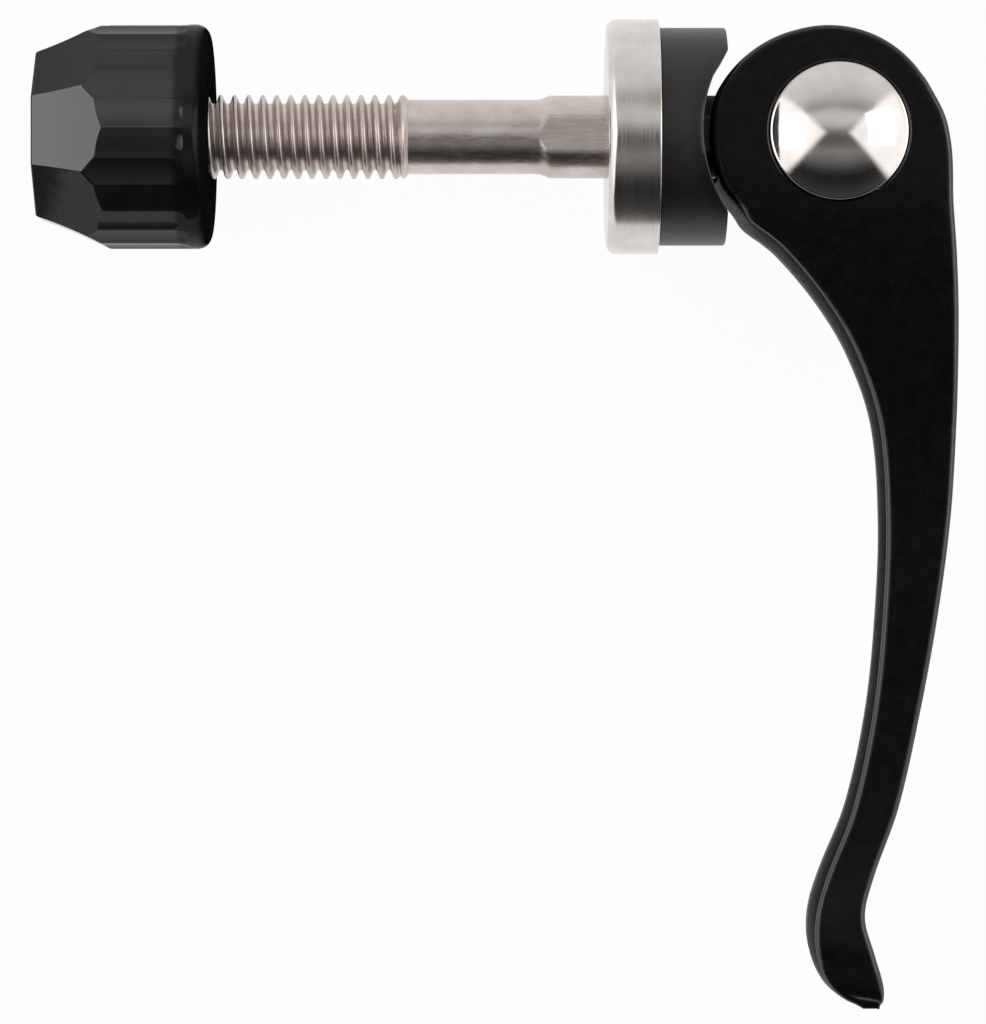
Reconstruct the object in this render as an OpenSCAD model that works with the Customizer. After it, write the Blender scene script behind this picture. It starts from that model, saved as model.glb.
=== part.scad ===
// Seatpost quick release bolt: a cam lever on a cross pin pulls an M6 bolt tight against a nut.
// Millimetres. The origin is the centre of the steel washer's clamping face, on the bolt's axis.
// +X runs along the bolt to the lever, +Z along the cross pin, and the closed lever's arm along -Y.

/* [Bolt] */
// Outer diameter of the thread
thread_d = 5.94; // [5.8:0.02:6]
// Length of the threaded end
thread_len = 24; // [20:0.5:26]
// Distance from one crest of the thread to the next
thread_pitch = 1; // [0.8:0.05:1.25]
// Depth of the thread's groove
thread_depth = 0.61; // [0.4:0.01:0.7]
// Width of the flat crest of the thread
crest_w = 0.18; // [0.1:0.02:0.3]
// Width of the rounded root of the thread
root_w = 0.26; // [0.1:0.02:0.4]
// Length of plain collar between the thread and its shoulder
collar_len = 0.3; // [0.1:0.1:1]
// Diameter of the plain shank
shank_d = 5.3; // [4.6:0.1:5.6]
// Length of shank that shows between the thread and the neck
shank_len = 9.2; // [6:0.1:12]
// Diameter of the neck under the washers
neck_d = 5.9; // [5.7:0.02:6]
// Distance across the two pressed flats on the neck
flats_across = 5.3; // [4.8:0.1:5.6]
// How far the neck stands out of the steel washer
neck_out = 3.9; // [3:0.1:6]
// Length of the cone between shank and neck
neck_taper = 1; // [0.6:0.1:2]
// Bevel on both ends of the bolt
bolt_bevel = 0.6; // [0.3:0.1:1]

/* [Washers] */
// Outer diameter of the steel washer
washer_d = 16.7; // [14:0.1:19]
// Thickness of the steel washer
washer_t = 3.7; // [2:0.1:5]
// Bevel round the washer's clamping face
washer_bevel = 0.45; // [0.2:0.05:1]
// Outer diameter of the saddle washer
saddle_d = 15.5; // [13:0.1:17]
// Height of the saddle washer over its two horns
saddle_t = 4.75; // [4:0.05:6]
// Thickness of the saddle washer at the bottom of its seat
saddle_floor = 2.9; // [2:0.1:3.4]
// Radial clearance of both washers on the bolt
washer_clear = 0.15; // [0.05:0.05:0.4]

/* [Cross pin] */
// Diameter of the cross pin
pin_d = 9.8; // [8.5:0.1:10.5]
// Height of the dome on each end of the pin
dome_h = 1.9; // [1:0.1:2.6]
// Width of the plain rim round each dome
dome_rim = 0.15; // [0.05:0.05:0.5]
// Radial clearance of the pin in the lever's eye
pin_clear = 0.05; // [0.02:0.01:0.1]
// Radial clearance of the bolt's end in the pin
bolt_clear = 0.02; // [0.01:0.01:0.05]
// How far the bolt's end stays inside the pin's far side
bolt_short = 1.4; // [1:0.1:2]

/* [Lever head] */
// Radius of the round head
head_r = 7.9; // [7.4:0.05:8.6]
// Distance from the pin to the head's centre, towards the washers
head_throw = 0.7; // [0.4:0.05:1]
// Distance from the pin to the head's centre, towards the arm
head_lag = 0.45; // [0.2:0.05:0.8]
// Radius of the cam where it holds the lever closed, from the pin
cam_r = 9; // [8.8:0.05:9.4]
// Distance from the pin to the centres of the cam's ramps, towards the washers
ramp_throw = 0.9; // [0.6:0.05:1.2]
// Distance from the pin to the centre of the closing ramp, towards the arm
ramp_on = 1.32; // [1:0.02:1.6]
// Distance from the pin to the centre of the ramp past the hold, away from the arm
ramp_off = 1; // [0.8:0.02:1.4]
// Gap between the closed cam and the saddle washer's seat, with the bolt slack
cam_gap = 0.65; // [0.3:0.05:1.2]
// Thickness of the head, over both cheeks
head_w = 11; // [10:0.1:13]
// Bevel round the rim of each cheek
head_bevel = 0.5; // [0.2:0.1:0.8]
// Clearance between the bolt's flats and each cheek
slot_clear = 0.2; // [0.1:0.05:0.4]
// Clearance between the neck and the floor of the slot
slot_floor_clear = 0.3; // [0.2:0.05:0.8]

/* [Lever arm] */
// Length from the pin to the end of the arm
arm_len = 62; // [52:1:72]
// Width of the arm at its middle, along the pin
arm_w = 7.8; // [6:0.1:9]
// Width of the thumb rest at the end of the arm
tip_w = 10; // [8:0.1:12]
// Depth of the arm's faces below the head's faces
face_step = 0.05; // [0.05:0.05:0.3]
// Bevel along the arm's edges
arm_bevel = 0.45; // [0.2:0.05:0.8]
// Draft of the arm's sides, from the middle to each face
arm_draft = 0.2; // [0.1:0.05:0.4]

/* [Nut] */
// Distance from the steel washer to the nut
grip_span = 28.2; // [24:0.1:32]
// Diameter of the nut's round body
nut_d = 16; // [14:0.1:18]
// Length of the nut's round body
nut_body = 7.2; // [6:0.1:10]
// Length of the nut's tapered end
nut_cone = 5.1; // [3:0.1:6]
// Distance across the flats at the small end of the nut
nut_small = 11.6; // [10.6:0.1:12.4]
// Radius of the rounded rim at the nut's clamping face
nut_rim = 1; // [0.5:0.1:1.5]
// Number of hollowed flats round the taper
flat_count = 8; // [6:1:10]
// Radius of each flat's hollow, along the nut
flat_hollow_r = 34; // [25:1:50]
// Number of shallow facets round the body
facet_count = 24; // [20:1:32]
// Depth of each facet's hollow below a plain flat
facet_hollow = 0.05; // [0.02:0.01:0.1]
// Distance from the end of the facets to the clamping face
facet_stop = 1.3; // [1:0.1:2]

/* [Inside the nut] */
// Thickness of the plastic between the steel insert and the clamping face
insert_cover = 0.8; // [0.5:0.1:1.5]
// Diameter of the steel insert
insert_d = 10; // [9.4:0.1:10.6]
// Length of the steel insert
insert_len = 6.4; // [5:0.1:7]
// Depth of the groove that holds the insert in the plastic
insert_groove = 0.6; // [0.3:0.1:0.8]
// Width of that groove
insert_groove_w = 2; // [1:0.1:3]
// Outer diameter of the nylon lock ring
ring_d = 8.6; // [8.2:0.1:9]
// Length of the nylon lock ring
ring_len = 2; // [1.5:0.1:2.4]
// Radial clearance of the nut's threads on the bolt
thread_clear = 0.04; // [0.02:0.01:0.08]
// Radial clearance of the shell's hole on the bolt
hole_clear = 0.4; // [0.2:0.05:0.6]
// Bevel round the shell's hole at the small end
hole_bevel = 0.5; // [0.3:0.1:0.8]

/* [Hidden] */

// Smoothness of round parts
$fn = 96;
// How far a cutting shape runs past the face that it cuts
past = 1;
// Gap between pieces that are moulded or seated together
seat_gap = 0.02;
// Points of the thread in one turn
thread_steps = 24;

// Places along the bolt
neck_start = -neck_out;
shank_start = neck_start - neck_taper;
thread_start = shank_start - shank_len;
bolt_tail = thread_start - thread_len;
saddle_base = washer_t;
seat_floor = washer_t + saddle_floor;
seat_r = cam_gap + cam_r;
pin_x = seat_floor + seat_r;
bolt_end = pin_x + pin_d / 2 - bolt_short;
nut_face = -grip_span;
nut_len = nut_body + nut_cone;
insert_front = nut_face - insert_cover;
ring_front = insert_front - insert_len - seat_gap;

// The hole that clears both the thread and the neck
washer_hole_r = max(thread_d, neck_d) / 2 + washer_clear;
nut_r = nut_d / 2;
slot_w = flats_across + 2 * slot_clear;
slot_floor = -(neck_d / 2 + slot_floor_clear);
ramp_r = cam_r - 0.3;

// Rows of the arm from head to tip: distance below the pin, inner edge, outer edge and width.
// The first rows lie inside the head, and the last closes the thumb rest.
head_face_w = head_w - 2 * face_step;
arm_rows = [
    [-0.50 * head_r, -0.50 * head_r, 0.735 * head_r, head_face_w],
    [-0.25 * head_r, -0.60 * head_r, 0.893 * head_r, head_face_w],
    [-0.10 * head_r, -0.65 * head_r, 0.957 * head_r, head_face_w],
    [0.08 * head_r, -0.71 * head_r, 0.994 * head_r, head_face_w],
    [0.40 * head_r, -0.80 * head_r, 1.03 * head_r, head_face_w],
    [0.68 * head_r, -0.85 * head_r, 1.048 * head_r, head_face_w - 0.1],
    [0.84 * head_r, -0.765 * head_r, 1.06 * head_r, head_face_w - 0.2],
    [0.135 * arm_len, -4.00, 8.50, head_face_w - 0.4],
    [0.190 * arm_len, -1.15, 8.65, head_face_w - 0.9],
    [0.250 * arm_len, 1.05, 8.68, (head_face_w + arm_w) / 2],
    [0.330 * arm_len, 2.72, 8.60, arm_w + 0.5],
    [0.440 * arm_len, 3.25, 8.20, arm_w],
    [0.550 * arm_len, 3.02, 7.30, arm_w],
    [0.660 * arm_len, 2.33, 6.06, arm_w],
    [0.770 * arm_len, 0.88, 4.50, arm_w + 0.4],
    [0.850 * arm_len, -1.05, 2.70, (arm_w + tip_w) / 2],
    [0.893 * arm_len, -1.78, 2.08, tip_w - 0.4],
    [0.935 * arm_len, -1.75, 2.76, tip_w],
    [0.970 * arm_len, -0.85, 3.38, tip_w - 0.5],
    [0.990 * arm_len, 0.45, 3.40, tip_w - 1.4],
    [arm_len, 1.80, 3.00, tip_w - 2.4]
];

// Slope of a smooth curve through rows r at row i, from the rows on both sides of it
function row_slope(r, i) =
    let (a = max(i - 1, 0), b = min(i + 1, len(r) - 1))
    (r[b] - r[a]) / (r[b][0] - r[a][0]);

// The last row of r that starts before d
function row_before(r, d) =
    max([for (i = [0 : len(r) - 2]) if (r[i][0] <= d || i == 0) i]);

// The smooth curve through rows r at distance d
function row_at(r, d) =
    let (i = row_before(r, d),
         h = r[i + 1][0] - r[i][0],
         t = min(1, max(0, (d - r[i][0]) / h)),
         s0 = row_slope(r, i) * h,
         s1 = row_slope(r, i + 1) * h)
    (2 * t ^ 3 - 3 * t ^ 2 + 1) * r[i] + (t ^ 3 - 2 * t ^ 2 + t) * s0
    + (3 * t ^ 2 - 2 * t ^ 3) * r[i + 1] + (t ^ 3 - t ^ 2) * s1;

// One cross-section of the arm: two drafted sides that meet at the middle, with bevelled edges
function arm_section(d) =
    let (row = row_at(arm_rows, d),
         inner = row[1],
         outer = row[2],
         half = row[3] / 2,
         fit = min(1, (outer - inner) / (3 * (arm_draft + arm_bevel))),
         draft = arm_draft * fit,
         bevel = arm_bevel * fit)
    [[inner, -d, 0],
     [inner + draft, -d, half - bevel],
     [inner + draft + bevel, -d, half],
     [outer - draft - bevel, -d, half],
     [outer - draft, -d, half - bevel],
     [outer, -d, 0],
     [outer - draft, -d, bevel - half],
     [outer - draft - bevel, -d, -half],
     [inner + draft + bevel, -d, -half],
     [inner + draft, -d, bevel - half]];

// Turns a shape that stands on +Z so that it lies along +X
module along_x() {
    rotate([0, 90, 0]) children();
}

// A round bar along X from x0 to x1
module bar(x0, x1, r) {
    translate([x0, 0, 0]) along_x() cylinder(h = x1 - x0, r = r);
}

// A cone along X from radius r0 at x0 to radius r1 at x1
module cone(x0, x1, r0, r1) {
    translate([x0, 0, 0]) along_x() cylinder(h = x1 - x0, r1 = r0, r2 = r1);
}

// The bolt: one turned bar with a threaded end, a thin shank and a pressed neck
module bolt() {
    color("silver")
    union() {
        intersection() {
            thread_skin();
            thread_room();
        }
        difference() {
            translate([bolt_tail, 0, 0]) along_x() rotate_extrude() bolt_profile();
            for (side = [-1, 1]) {
                neck_flat(side);
            }
        }
    }
}

// Half outline of the plain part of the bolt: radius against distance from the tail
module bolt_profile() {
    thread_end = thread_start - bolt_tail;
    cone_start = shank_start - bolt_tail;
    cone_end = neck_start - bolt_tail;
    whole = bolt_end - bolt_tail;
    collar_r = thread_d / 2 + seat_gap;
    relief = collar_r - shank_d / 2;
    polygon([
        [0, thread_end - relief - collar_len],
        [collar_r, thread_end - relief - collar_len],
        [collar_r, thread_end - relief],
        [shank_d / 2, thread_end],
        [shank_d / 2, cone_start],
        [neck_d / 2, cone_end],
        [neck_d / 2, whole - bolt_bevel],
        [neck_d / 2 - bolt_bevel, whole],
        [0, whole]
    ]);
}

// The room that the thread may fill: it starts at the tail's bevel and ends in the collar
module thread_room() {
    bevel_end = bolt_tail + bolt_bevel + past;
    room_r = thread_d / 2 + past;
    cone(bolt_tail, bevel_end, thread_d / 2 - bolt_bevel, room_r);
    bar(bevel_end, thread_start - (thread_d - shank_d) / 2 - collar_len / 2, room_r);
}

// The thread: a strip of crest, flank, root and flank that winds round the bar, one pitch a turn.
// The strip is right-handed, and its next turn closes each turn's last flank.
module thread_skin() {
    crest_r = thread_d / 2;
    root_r = thread_d / 2 - thread_depth;
    strip = [
        [0, crest_r],
        [crest_w, crest_r],
        [(thread_pitch + crest_w - root_w) / 2, root_r],
        [(thread_pitch + crest_w + root_w) / 2, root_r]
    ];
    n = len(strip);
    turns = ceil(thread_len / thread_pitch) + 2;
    last = turns * thread_steps;
    first_x = bolt_tail - 1.5 * thread_pitch;
    strip_points = [for (m = [0 : last], p = strip)
        let (a = m * 360 / thread_steps)
        [first_x + p[0] + thread_pitch * m / thread_steps, p[1] * cos(a), p[1] * sin(a)]];
    tail_point = len(strip_points);
    middle_x = first_x + thread_pitch / 2;
    points = concat(strip_points, [[middle_x, 0, 0], [middle_x + last * thread_pitch / thread_steps, 0, 0]]);
    flanks = [for (m = [0 : last - 1], k = [0 : n - 2])
        [n * m + k, n * m + k + 1, n * (m + 1) + k + 1, n * (m + 1) + k]];
    joins = [for (m = [0 : last - thread_steps - 1])
        [n * m + n - 1, n * (m + thread_steps), n * (m + 1 + thread_steps), n * (m + 1) + n - 1]];
    near_loop = concat([for (m = [0 : thread_steps]) n * m], [for (k = [n - 1 : -1 : 1]) k]);
    far_first = last - thread_steps;
    far_loop = concat(
        [for (m = [far_first : last]) n * m + n - 1],
        [for (k = [n - 2 : -1 : 0]) n * last + k]
    );
    near_end = [for (i = [0 : len(near_loop) - 1])
        [tail_point, near_loop[i], near_loop[(i + 1) % len(near_loop)]]];
    far_end = [for (i = [0 : len(far_loop) - 1])
        [tail_point + 1, far_loop[(i + 1) % len(far_loop)], far_loop[i]]];
    polyhedron(points = points, faces = concat(flanks, joins, near_end, far_end), convexity = 30);
}

// The space beside one flat of the neck
module neck_flat(side) {
    depth = neck_d;
    flat_len = bolt_end + past - shank_start + neck_taper;
    translate([shank_start - neck_taper, -neck_d, side > 0 ? flats_across / 2 : -flats_across / 2 - depth])
        cube([flat_len, 2 * neck_d, depth]);
}

// The cross pin: a barrel across the lever's head, domed at both ends
module cross_pin() {
    color("lightgray")
    translate([pin_x, 0, 0])
    difference() {
        union() {
            cylinder(h = head_w, r = pin_d / 2, center = true);
            pin_dome();
            mirror([0, 0, 1]) pin_dome();
        }
        bar(-pin_d, pin_d, neck_d / 2 + bolt_clear);
    }
}

// The dome on the upper end of the pin
module pin_dome() {
    rim_r = pin_d / 2 - dome_rim;
    dome_r = (rim_r ^ 2 + dome_h ^ 2) / (2 * dome_h);
    intersection() {
        translate([0, 0, head_w / 2 + dome_h - dome_r]) sphere(r = dome_r);
        translate([0, 0, head_w / 2]) cylinder(h = dome_h + past, r = pin_d / 2);
    }
}

// The steel washer: a thick turned ring, bevelled round its clamping face
module steel_washer() {
    color("gainsboro")
    difference() {
        union() {
            cone(0, washer_bevel, washer_d / 2 - washer_bevel, washer_d / 2);
            bar(washer_bevel, washer_t, washer_d / 2);
        }
        bar(-past, washer_t + past, washer_hole_r);
    }
}

// The saddle washer: a moulded ring with a hollow seat for the cam across its upper face
module saddle_washer() {
    color("dimgray")
    difference() {
        bar(saddle_base, saddle_base + saddle_t, saddle_d / 2);
        translate([pin_x, 0, 0]) cylinder(h = saddle_d + 2 * past, r = seat_r, center = true);
        bar(saddle_base - past, saddle_base + saddle_t + past, washer_hole_r);
    }
}

// The lever: a forked cam head and a bowed arm, cast in one piece
module lever() {
    color("#1c1c1e")
    translate([pin_x, 0, 0])
    difference() {
        union() {
            translate([-head_throw, -head_lag, 0]) drum(head_r);
            cam();
            lever_arm();
        }
        cylinder(h = head_w + 2 * past, r = pin_d / 2 + pin_clear, center = true);
        head_slot();
    }
}

// The cam: a drum round the pin holds the lever closed, and two wider drums set off the pin's axis
// trim it to the ramps on both sides of the hold
module cam() {
    intersection() {
        drum(cam_r);
        translate([-ramp_throw, -ramp_on, 0]) drum(ramp_r);
        translate([-ramp_throw, ramp_off, 0]) drum(ramp_r);
    }
}

// A drum as wide as the head, with bevelled rims
module drum(r) {
    straight = head_w - 2 * head_bevel;
    cylinder(h = straight, r = r, center = true);
    for (side = [0, 1]) {
        mirror([0, 0, side])
        translate([0, 0, straight / 2])
        cylinder(h = head_bevel, r1 = r, r2 = r - head_bevel);
    }
}

// The slot between the cheeks: it lets the lever swing round the bolt by half a turn
module head_slot() {
    reach = 2 * cam_r;
    translate([-reach, slot_floor, -slot_w / 2])
        cube([2 * reach, reach, slot_w]);
}

// The arm: cross-sections joined into one skin
module lever_arm() {
    top = arm_rows[0][0];
    split = 0.86 * arm_len;
    steps = 30;
    tip_steps = 14;
    places = concat(
        [for (k = [0 : steps]) top + (split - top) * k / steps],
        [for (k = [1 : tip_steps]) split + (arm_len - split) * k / tip_steps]
    );
    sections = [for (d = places) arm_section(d)];
    n = len(sections[0]);
    last = len(sections) - 1;
    points = [for (s = sections) each s];
    sides = [for (i = [0 : last - 1], j = [0 : n - 1])
        [i * n + j, i * n + (j + 1) % n, (i + 1) * n + (j + 1) % n, (i + 1) * n + j]];
    near_end = [for (j = [n - 1 : -1 : 0]) j];
    far_end = [for (j = [0 : n - 1]) last * n + j];
    polyhedron(points = points, faces = concat([near_end], sides, [far_end]), convexity = 6);
}

// The nut's shell: a moulded grip with a round body and a tapered end
module nut_shell() {
    color("#232325")
    translate([nut_face, 0, 0])
    difference() {
        mirror([1, 0, 0]) along_x() rotate_extrude() nut_profile();
        for (k = [0 : flat_count - 1]) {
            rotate([k * 360 / flat_count, 0, 0]) taper_flat();
        }
        for (k = [0 : facet_count - 1]) {
            rotate([(k + 0.5) * 360 / facet_count, 0, 0]) body_facet();
        }
        translate([-nut_face, 0, 0]) nut_hollow();
    }
}

// Half outline of the nut: radius against distance from the clamping face
module nut_profile() {
    translate([nut_r - nut_rim, nut_rim]) circle(r = nut_rim);
    square([nut_r - nut_rim, nut_len]);
    translate([0, nut_rim]) square([nut_r, nut_len - nut_rim]);
}

// The hollow of one flat: a wide drum laid across the taper
module taper_flat() {
    rise = nut_r - nut_small / 2;
    chord = norm([nut_cone, rise]);
    out = sqrt(flat_hollow_r ^ 2 - (chord / 2) ^ 2);
    middle_x = -nut_body - nut_cone / 2;
    middle_z = (nut_r + nut_small / 2) / 2;
    translate([middle_x - out * rise / chord, 0, middle_z + out * nut_cone / chord])
        rotate([90, 0, 0])
        cylinder(h = 2 * nut_d, r = flat_hollow_r, center = true, $fn = 240);
}

// The hollow of one facet: a wide bar laid along the body
module body_facet() {
    half_chord = nut_r * sin(180 / facet_count);
    flat_r = nut_r * cos(180 / facet_count);
    hollow_r = (half_chord ^ 2 + facet_hollow ^ 2) / (2 * facet_hollow);
    translate([0, 0, flat_r - facet_hollow + hollow_r])
        bar(-nut_len - past, -facet_stop, hollow_r, $fn = 240);
}

// The space inside the shell: the insert's bed, the ring's bed and the bolt's hole
module nut_hollow() {
    nut_tail = nut_face - nut_len;
    hole_r = thread_d / 2 + hole_clear;
    insert_shape(seat_gap);
    bar(ring_front - ring_len - seat_gap, ring_front + past, ring_d / 2 + thread_clear);
    bar(nut_tail - past, nut_face + past, hole_r);
    cone(nut_tail, nut_tail + hole_bevel, hole_r + hole_bevel, hole_r);
}

// Outside of the steel insert, grown by a gap on every side
module insert_shape(gap) {
    r = insert_d / 2 + gap;
    back = insert_front - insert_len;
    middle = insert_front - insert_len / 2;
    groove = insert_groove_w / 2 - gap;
    bar(back - gap, insert_front + gap, r - insert_groove);
    bar(middle + groove, insert_front + gap, r);
    bar(back - gap, middle - groove, r);
}

// The steel insert: a threaded sleeve that the shell is moulded round
module nut_insert() {
    color("darkgray")
    difference() {
        insert_shape(0);
        bar(insert_front - insert_len - past, insert_front + past, thread_d / 2 + thread_clear);
    }
}

// The nylon lock ring: it grips the thread so that the nut doesn't shake loose
module lock_ring() {
    color("ivory")
    difference() {
        bar(ring_front - ring_len, ring_front, ring_d / 2);
        bar(ring_front - ring_len - past, ring_front + past, thread_d / 2 + thread_clear);
    }
}

bolt();
cross_pin();
steel_washer();
saddle_washer();
lever();
nut_shell();
nut_insert();
lock_ring();
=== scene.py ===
# %% [markdown]
# # A seatpost quick release bolt, dressed for the camera
#
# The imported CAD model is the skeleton: eight pieces at their real size, each on the body that
# carries it. This notebook gives every piece the surface that the eye expects, such as a rolled
# thread, a turned washer, a polished dome, glossy moulded plastic and painted casting.
# Shapes are worked out with numpy as grids: a point of a surface is a function of two numbers,
# one along the piece and one round it. Box modelling with modifiers could give the plain pieces,
# but not a thread or a scalloped grip, and one way for all of them is easier to follow. Sizes are
# written in millimetres and turned to metres once.

# %% Load the frame
import math

import bpy
import numpy as np
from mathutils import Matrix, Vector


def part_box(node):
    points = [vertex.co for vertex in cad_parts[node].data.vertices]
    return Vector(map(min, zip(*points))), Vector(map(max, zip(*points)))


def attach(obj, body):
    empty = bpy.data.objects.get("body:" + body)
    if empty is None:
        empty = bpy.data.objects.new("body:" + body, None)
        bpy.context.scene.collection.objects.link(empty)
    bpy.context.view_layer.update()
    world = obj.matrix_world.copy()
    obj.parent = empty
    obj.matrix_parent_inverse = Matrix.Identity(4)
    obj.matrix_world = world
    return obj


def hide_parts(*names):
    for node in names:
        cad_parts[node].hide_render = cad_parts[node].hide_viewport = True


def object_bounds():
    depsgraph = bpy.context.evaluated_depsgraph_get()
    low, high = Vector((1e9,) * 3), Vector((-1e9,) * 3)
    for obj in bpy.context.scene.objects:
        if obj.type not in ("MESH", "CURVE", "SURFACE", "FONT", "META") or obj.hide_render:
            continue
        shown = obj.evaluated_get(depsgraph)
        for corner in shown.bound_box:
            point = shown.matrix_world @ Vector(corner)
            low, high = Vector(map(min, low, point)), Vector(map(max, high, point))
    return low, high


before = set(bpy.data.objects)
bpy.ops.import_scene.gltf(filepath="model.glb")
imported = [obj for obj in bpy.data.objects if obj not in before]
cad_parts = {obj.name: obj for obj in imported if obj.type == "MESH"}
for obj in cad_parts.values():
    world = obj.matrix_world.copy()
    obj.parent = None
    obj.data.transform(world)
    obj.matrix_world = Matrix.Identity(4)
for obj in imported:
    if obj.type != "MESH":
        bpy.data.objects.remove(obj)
cad_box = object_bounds()
MM = 0.001
print("frame loaded:", sorted(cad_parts))

# %% [markdown]
# ## Places taken from the frame
# The nodes' boxes say where each piece lies, so the dressing follows the CAD model. Only sizes
# that a box can't tell, such as the cam's centre, are written again as named values.


# %% Measure the frame
def low_high(node):
    """The lowest and highest corners of a CAD node at rest, in millimetres."""
    low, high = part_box(node)
    return np.array(low) / MM, np.array(high) / MM


bolt_low, bolt_high = low_high("bolt")
pin_low, pin_high = low_high("cross_pin")
washer_low, washer_high = low_high("steel_washer")
saddle_low, saddle_high = low_high("saddle_washer")
nut_low, nut_high = low_high("nut_shell")

PIN_X = (pin_low[0] + pin_high[0]) / 2
PIN_R = (pin_high[0] - pin_low[0]) / 2
BOLT_TAIL = bolt_low[0]
BOLT_END = bolt_high[0]
NECK_R = 2.95
SHANK_R = 2.65
THREAD_R = bolt_high[1]
HOLE_R = 3.12
print("pin axis at x =", round(float(PIN_X), 3), "mm")

# %% [markdown]
# ## The camera
# The photograph looks straight down on the bolt and lever as they lie flat. Both the left face
# of the washer and the right face of the nut can be seen, so the lens stood close: the
# perspective fits a distance of about 0.31 m. A pixel covers a fourteenth of a millimetre.

# %% Set up the camera
PHOTO_W = 986
PHOTO_H = 1024
PX_PER_MM = 14.0
ORIGIN_PX = (606.0, 137.0)
VIEW_CENTRE_PX = (PHOTO_W / 2, PHOTO_H / 2)
CAMERA_HEIGHT = 314.0
SENSOR_MM = 24.0


def photo_to_mm(px, py):
    """A pixel of the photograph as x and y in the plane of the bolt's axis."""
    return (px - ORIGIN_PX[0]) / PX_PER_MM, (ORIGIN_PX[1] - py) / PX_PER_MM


def make_camera():
    """A camera over the middle of the picture that looks down -Z with +Y up."""
    data = bpy.data.cameras.new("camera")
    data.sensor_fit = "VERTICAL"
    data.sensor_height = SENSOR_MM
    data.lens = SENSOR_MM * CAMERA_HEIGHT / (PHOTO_H / PX_PER_MM)
    camera = bpy.data.objects.new("camera", data)
    x, y = photo_to_mm(*VIEW_CENTRE_PX)
    camera.location = (x * MM, y * MM, CAMERA_HEIGHT * MM)
    bpy.context.collection.objects.link(camera)
    bpy.context.scene.camera = camera
    return camera


camera = make_camera()
print("camera at", tuple(round(v, 4) for v in camera.location), "lens", round(camera.data.lens, 1))

# %% [markdown]
# ## From grid to mesh
# Every shape below ends as an array of points with rows and columns. One helper joins
# neighbouring points into four-sided faces, closes the seam where the last column meets the
# first, and closes a ring of rows or fans it to a pole. Faces point outwards when the columns
# run anticlockwise as seen from the end that the rows run towards.


# %% Helpers for meshes
def quads(rows, cols, wrap_rows):
    """Corner numbers of the faces between neighbouring points of a grid whose columns wrap round."""
    i = np.arange(rows if wrap_rows else rows - 1)[:, None]
    j = np.arange(cols)[None, :]
    k = (j + 1) % cols
    below = (i + 1) % rows
    corners = np.stack([i * cols + j, i * cols + k, below * cols + k, below * cols + j], axis=-1)
    return corners.reshape(-1, 4)


def mesh_object(name, points, faces, sharp_deg=35.0):
    """A smooth-shaded object from points in millimetres, with edges over sharp_deg kept sharp."""
    mesh = bpy.data.meshes.new(name)
    verts = (np.asarray(points).reshape(-1, 3) * MM).tolist()
    mesh.from_pydata(verts, [], [list(f) for f in faces])
    mesh.validate()
    smooth_shade(mesh, sharp_deg)
    thing = bpy.data.objects.new(name, mesh)
    bpy.context.collection.objects.link(thing)
    return thing


def smooth_shade(mesh, sharp_deg):
    """Shades a mesh smooth, apart from edges that turn by more than sharp_deg."""
    mesh.polygons.foreach_set("use_smooth", np.ones(len(mesh.polygons), dtype=bool))
    mesh.set_sharp_from_angle(angle=math.radians(sharp_deg))


def ring_grid(name, points, sharp_deg=35.0):
    """A closed ring: both the rows and the columns of the grid wrap round."""
    rows, cols = points.shape[:2]
    return mesh_object(name, points, quads(rows, cols, True), sharp_deg)


def poled_grid(name, points, first, last, sharp_deg=35.0):
    """A closed spindle: the first and last rows are fanned to one point each."""
    rows, cols = points.shape[:2]
    body = quads(rows, cols, False).tolist()
    a = rows * cols
    b = a + 1
    j = np.arange(cols)
    k = (j + 1) % cols
    near = np.stack([np.full(cols, a), k, j], axis=-1).tolist()
    end = (rows - 1) * cols
    far = np.stack([np.full(cols, b), end + j, end + k], axis=-1).tolist()
    every = np.concatenate([points.reshape(-1, 3), np.array([first, last], dtype=float)])
    return mesh_object(name, every, body + near + far, sharp_deg)


def turn(x, r, angles):
    """Points of a solid of revolution about X: y = r cos a and z = r sin a at each x. r may be a row
    of radii, one for each x, or a grid, one for each x and each angle."""
    r = np.asarray(r, dtype=float)
    if r.ndim == 1:
        r = np.repeat(r[:, None], len(angles), axis=1)
    x = np.asarray(x, dtype=float)
    if x.ndim == 1:
        x = np.repeat(x[:, None], len(angles), axis=1)
    return np.stack([x, r * np.cos(angles), r * np.sin(angles)], axis=-1)


def circle_angles(count):
    """Evenly spaced angles round a full turn."""
    return np.arange(count) * 2 * math.pi / count


def smooth_step(t):
    """0 below 0, 1 above 1, and an S-shaped rise between: 3 t squared minus 2 t cubed."""
    t = np.clip(t, 0, 1)
    return t * t * (3 - 2 * t)


def soft_min(a, b, width):
    """The smaller of two values, with the corner between them rounded over a width."""
    h = np.clip(0.5 + 0.5 * (b - a) / width, 0, 1)
    return b + (a - b) * h - width * h * (1 - h)


def corner_arc(x0, r0, x1, r1, x2, r2, radius, steps=6):
    """Points (x, r) of a rounded corner at (x1, r1), between the points before and after it: a
    curve that leaves each side at the distance radius and bends through the corner's pull."""
    corner = np.array([x1, r1], dtype=float)
    before = np.array([x0, r0], dtype=float) - corner
    after = np.array([x2, r2], dtype=float) - corner
    start = corner + before / np.linalg.norm(before) * radius
    end = corner + after / np.linalg.norm(after) * radius
    t = np.linspace(0, 1, steps)[:, None]
    return (1 - t) ** 2 * start + 2 * t * (1 - t) * corner + t ** 2 * end


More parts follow.
